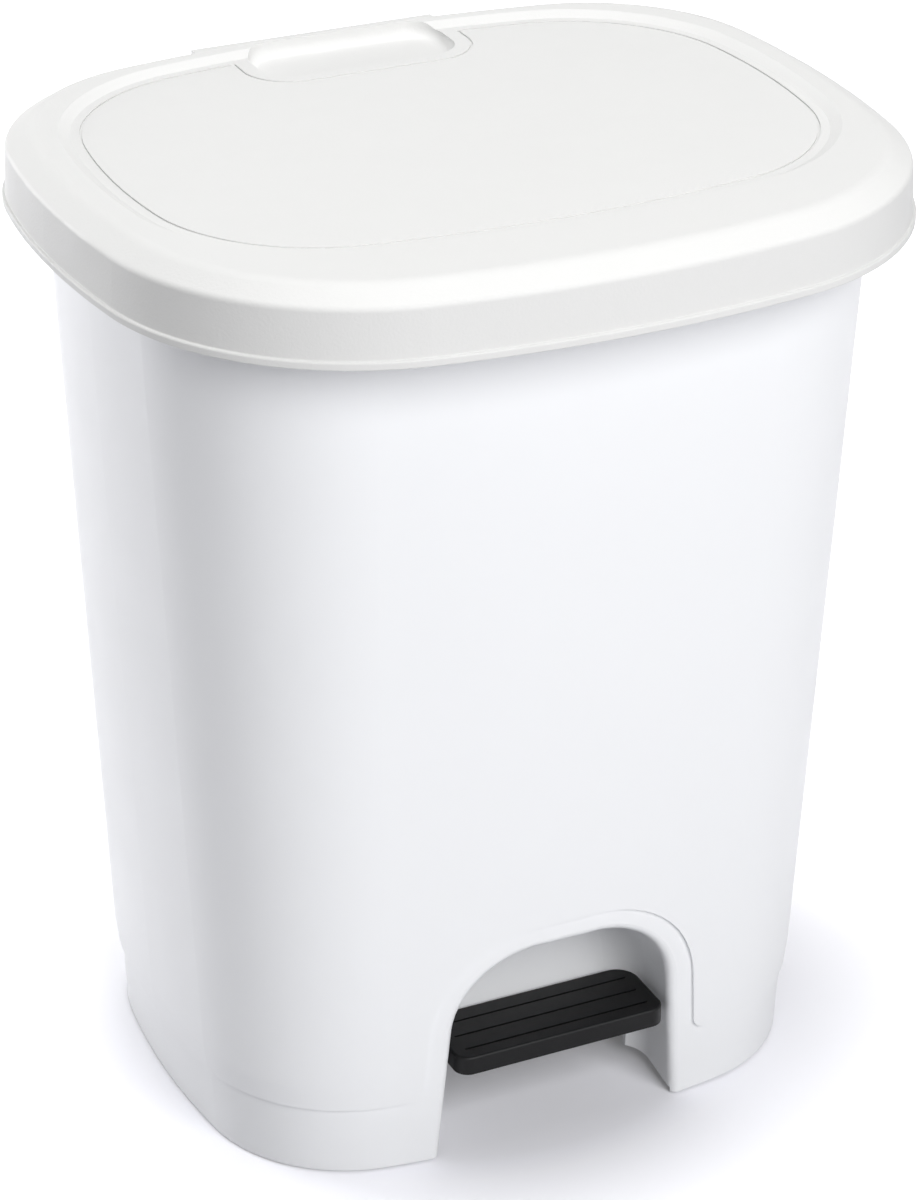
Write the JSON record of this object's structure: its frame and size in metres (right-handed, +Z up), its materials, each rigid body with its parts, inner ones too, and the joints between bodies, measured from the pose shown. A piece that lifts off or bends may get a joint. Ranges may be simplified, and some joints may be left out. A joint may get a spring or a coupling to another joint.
{
  "type": "pedal trash can",
  "caption": "Tapered oval plastic waste bin with an overhanging hinged lid that a foot pedal in a front arch lifts through a lever, push rod and crank.",
  "frame": {"origin": "middle of the overall box at floor level, under the feet", "axes": "+Z up, the pedal and the front face look towards -Y, the lid's hinge is at +Y, +X is the viewer's right from the front"},
  "size_m": [0.374, 0.328, 0.45],
  "materials": {
    "white_body": "white moulded polypropylene, semi-gloss",
    "white_lid": "white moulded polypropylene, satin with a fine textured panel",
    "white_fitting": "white moulded nylon, satin",
    "grey_nylon": "grey moulded nylon, satin",
    "black_tread": "black moulded polypropylene, satin",
    "black_lever": "black glass-filled nylon, matt",
    "rubber": "black rubber, matt",
    "soft_bumper": "pale soft rubber, matt",
    "bright_steel": "drawn steel wire and rod, bright",
    "zinc_screw": "zinc-plated steel"
  },
  "bodies": {
    "can_body": {"tub": "white_body", "rubber_feet": "rubber", "bearing_block_left": "grey_nylon", "bearing_block_right": "grey_nylon", "bearing_screws": "zinc_screw", "pedal_axle": "bright_steel", "axle_clips": "bright_steel", "rod_guide_lower": "grey_nylon", "rod_guide_upper": "grey_nylon", "guide_screws": "zinc_screw", "hinge_ear_left": "white_fitting", "hinge_ear_right": "white_fitting", "hinge_screws": "zinc_screw", "hinge_pin": "bright_steel"},
    "lid_body": {"lid": "white_lid", "lid_crank": "white_fitting", "crank_pin": "bright_steel", "crank_screws": "zinc_screw", "lid_bumpers": "soft_bumper"},
    "rod_body": {"push_rod": "bright_steel", "rod_foot": "grey_nylon", "rod_pusher": "grey_nylon"},
    "pedal_body": {"pedal_lever": "black_lever", "lever_bushes": "grey_nylon", "pedal_tread": "black_tread", "tread_screws": "zinc_screw"}
  },
  "joints": [
    {"name": "lid_open", "type": "hinge", "parent": "can_body", "child": "lid_body", "pos_m": [0, 0.154, 0.4215], "axis": [-1, 0, 0], "range_deg": [0, 75]},
    {"name": "pedal_press", "type": "hinge", "parent": "can_body", "child": "pedal_body", "pos_m": [0, 0.013, 0.03], "axis": [1, 0, 0], "range_deg": [0, 16.2]},
    {"name": "rod_lift", "type": "slide", "parent": "can_body", "child": "rod_body", "axis": [0, 0, 1], "range_m": [0, 0.03289]}
  ],
  "couplings": [
    {"joint": "pedal_press", "follows": "lid_open", "ratio": 0.21575},
    {"joint": "rod_lift", "follows": "lid_open", "m_per_rad": 0.025113}
  ]
}
